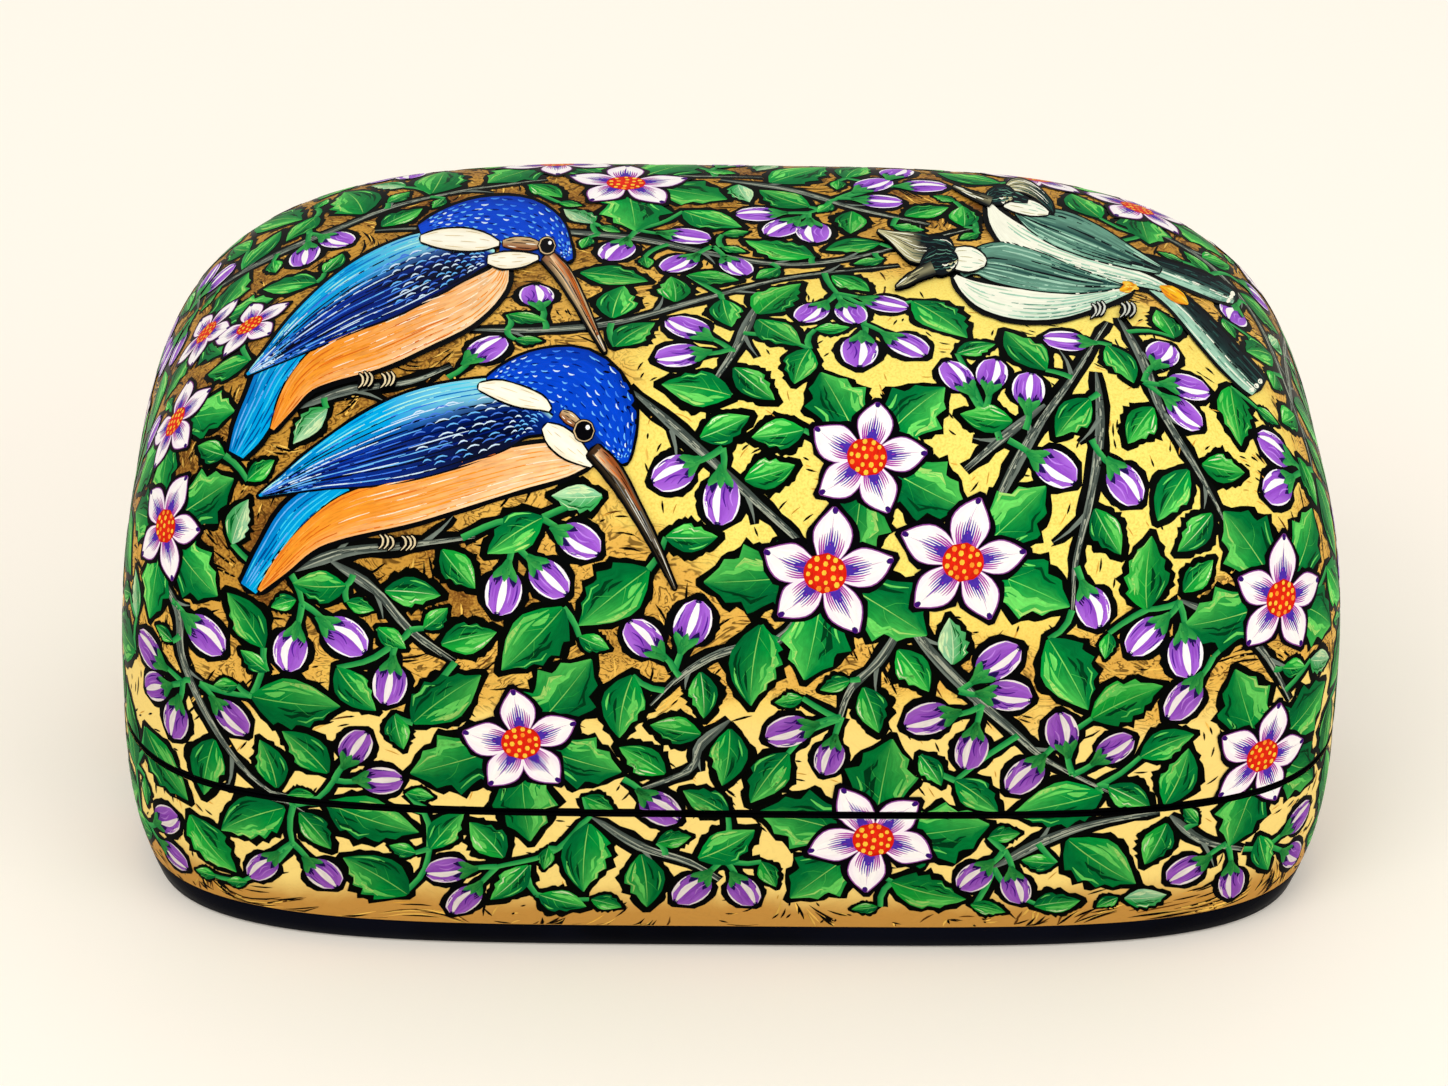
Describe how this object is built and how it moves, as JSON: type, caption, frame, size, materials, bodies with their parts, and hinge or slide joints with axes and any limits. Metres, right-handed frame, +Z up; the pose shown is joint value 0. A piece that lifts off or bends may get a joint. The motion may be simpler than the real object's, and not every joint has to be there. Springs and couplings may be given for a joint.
{
  "type": "papier-mache jewelry box",
  "caption": "Pillow-shaped lacquered papier-mache jewelry box with a flower-and-bird painted lift-off lid, an inner collar, velvet lining and a black foot band.",
  "frame": {"origin": "on the surface the box stands on, under the middle of the box", "axes": "+X along the long side, -Y out of the front, +Z up through the lid"},
  "size_m": [0.203, 0.122, 0.0994],
  "materials": {
    "painted_papier_mache": "hand-painted flowers, leaves and birds on a gold ground under a high-gloss lacquer",
    "black_lacquer": "gloss blue-black lacquer",
    "bare_board": "plain pressed pulp board",
    "velvet": "deep red short-pile velvet",
    "felt": "dark green pressed felt"
  },
  "bodies": {
    "base": {"base_shell": "painted_papier_mache", "base_rim": "black_lacquer", "base_collar": "black_lacquer", "foot_band": "black_lacquer", "base_board": "bare_board", "base_felt": "felt", "wall_lining": "velvet", "floor_card": "bare_board", "floor_pad": "velvet"},
    "lid": {"lid_shell": "painted_papier_mache", "lid_rim": "black_lacquer", "lid_lining": "velvet"}
  },
  "joints": [
    {"name": "lid_lift", "type": "slide", "parent": "base", "child": "lid", "axis": [0, 0, 1], "range_m": [0, 0.08]}
  ]
}
